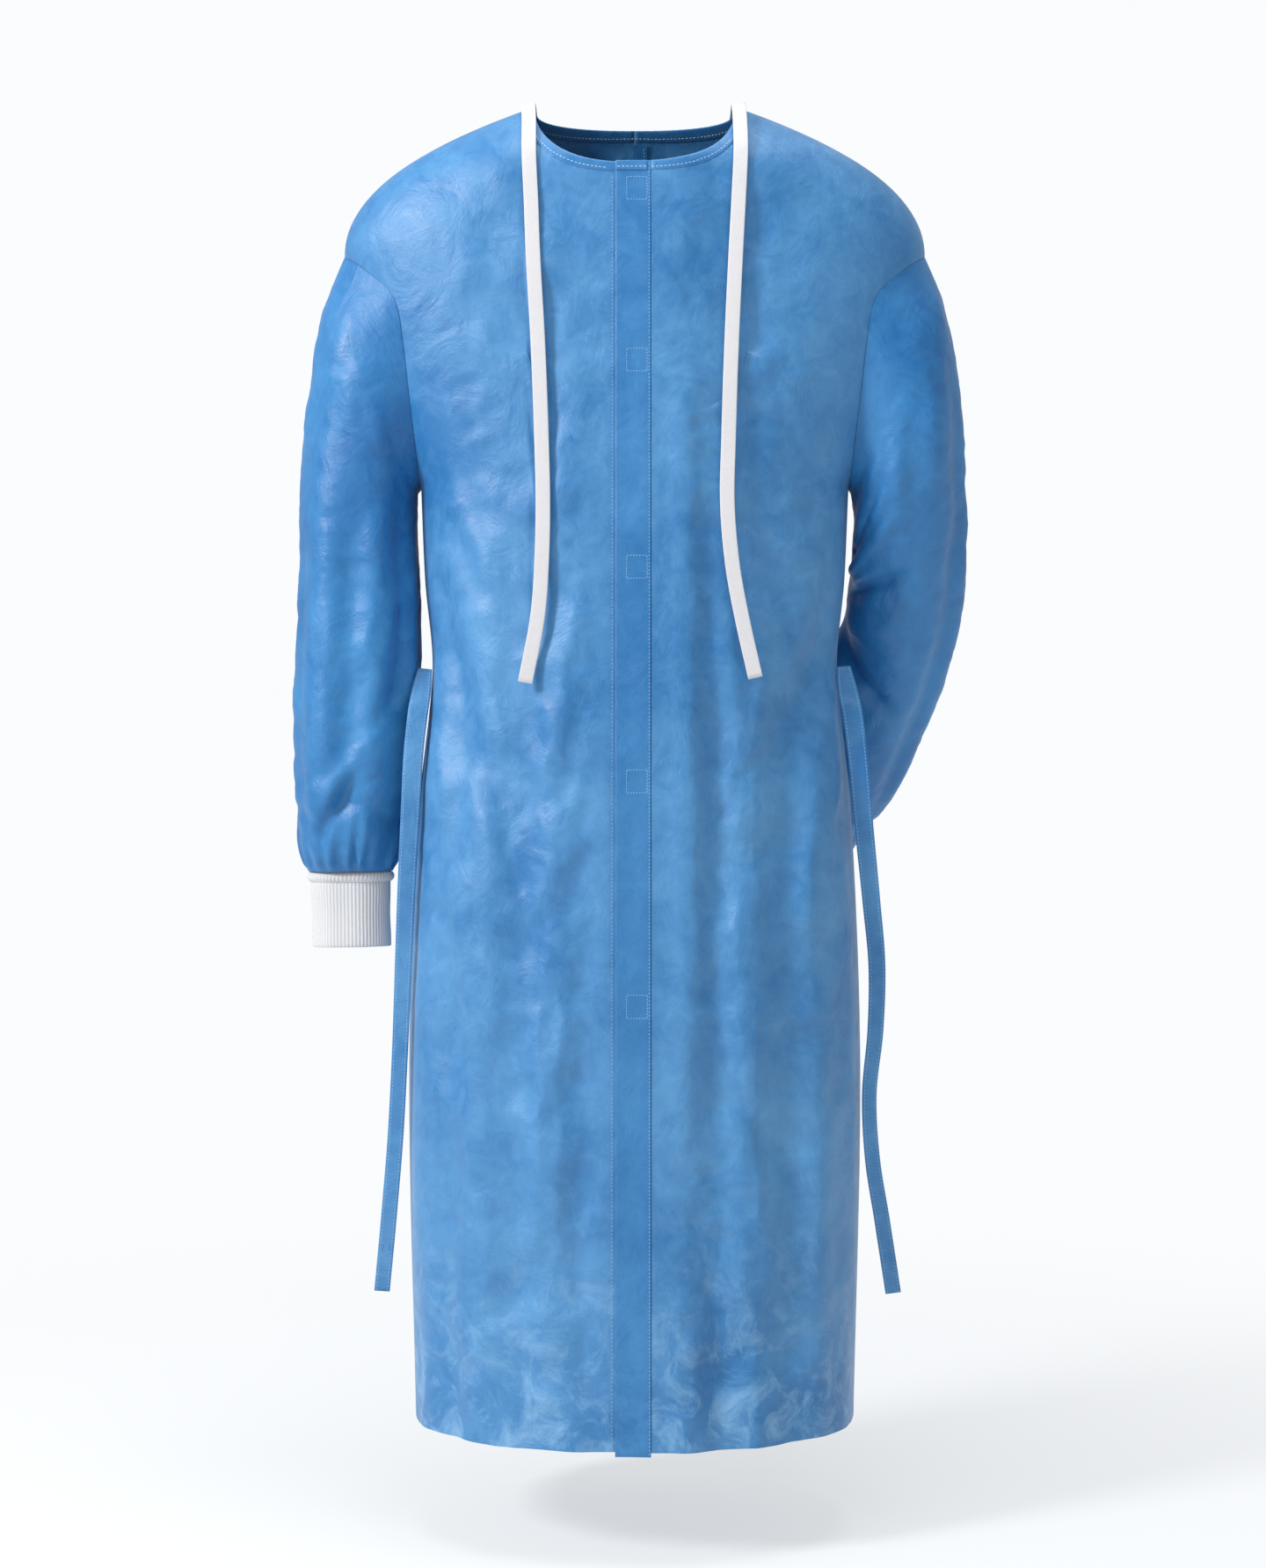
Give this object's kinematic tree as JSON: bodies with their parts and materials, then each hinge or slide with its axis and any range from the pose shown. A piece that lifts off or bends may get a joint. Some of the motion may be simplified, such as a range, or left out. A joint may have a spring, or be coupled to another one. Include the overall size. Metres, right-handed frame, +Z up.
{
  "type": "patient gown",
  "caption": "Knee-length front-fastening nonwoven gown with long sleeves, knitted cuffs, a hook-and-loop front flap, neck ties and waist ties.",
  "frame": {"origin": "midway between the two shoulder points of the neckline, at their height, where the gown is held up", "axes": "+Z up along the body, +X towards the wearer's left, -Y towards the front of the gown"},
  "size_m": [0.5844, 0.3619, 1.1262],
  "materials": {
    "nonwoven": "matte",
    "rib_knit": "matte",
    "tie_tape": "matte",
    "hook_tape": "matte",
    "loop_tape": "matte"
  },
  "bodies": {
    "gown": {"right_front_panel": "nonwoven", "left_front_panel": "nonwoven", "right_back_panel": "nonwoven", "left_back_panel": "nonwoven", "underlap_facing": "nonwoven", "right_neck_binding": "nonwoven", "left_neck_binding": "nonwoven", "right_back_neck_binding": "nonwoven", "left_back_neck_binding": "nonwoven", "right_sleeve_head": "nonwoven", "left_sleeve_head": "nonwoven", "right_neck_tie": "tie_tape", "left_neck_tie": "tie_tape", "right_waist_tie": "nonwoven", "left_waist_tie": "nonwoven", "loop_tab_1": "loop_tape", "loop_tab_2": "loop_tape", "loop_tab_3": "loop_tape", "loop_tab_4": "loop_tape", "loop_tab_5": "loop_tape"},
    "front_flap": {"placket_flap": "nonwoven", "flap_facing": "nonwoven", "flap_neck_binding": "nonwoven", "hook_tab_1": "hook_tape", "hook_tab_2": "hook_tape", "hook_tab_3": "hook_tape", "hook_tab_4": "hook_tape", "hook_tab_5": "hook_tape"},
    "right_arm": {"right_sleeve": "nonwoven", "right_cuff_band": "rib_knit", "right_cuff": "rib_knit"},
    "left_arm": {"left_sleeve": "nonwoven", "left_cuff_band": "rib_knit", "left_cuff": "rib_knit"}
  },
  "joints": [
    {"name": "placket_peel", "type": "hinge", "parent": "gown", "child": "front_flap", "pos_m": [0.0132, -0.09745, -0.066], "axis": [0, 0.0493, 0.9988], "range_deg": [0, 150]},
    {"name": "right_sleeve_swing", "type": "hinge", "parent": "gown", "child": "right_arm", "pos_m": [-0.235, 0, -0.265], "axis": [0, 1, 0], "range_deg": [0, 30], "deforming": ["right_sleeve_head"]},
    {"name": "left_sleeve_swing", "type": "hinge", "parent": "gown", "child": "left_arm", "pos_m": [0.198, 0, -0.27], "axis": [0, -1, 0], "range_deg": [0, 20], "deforming": ["left_sleeve_head"]}
  ]
}
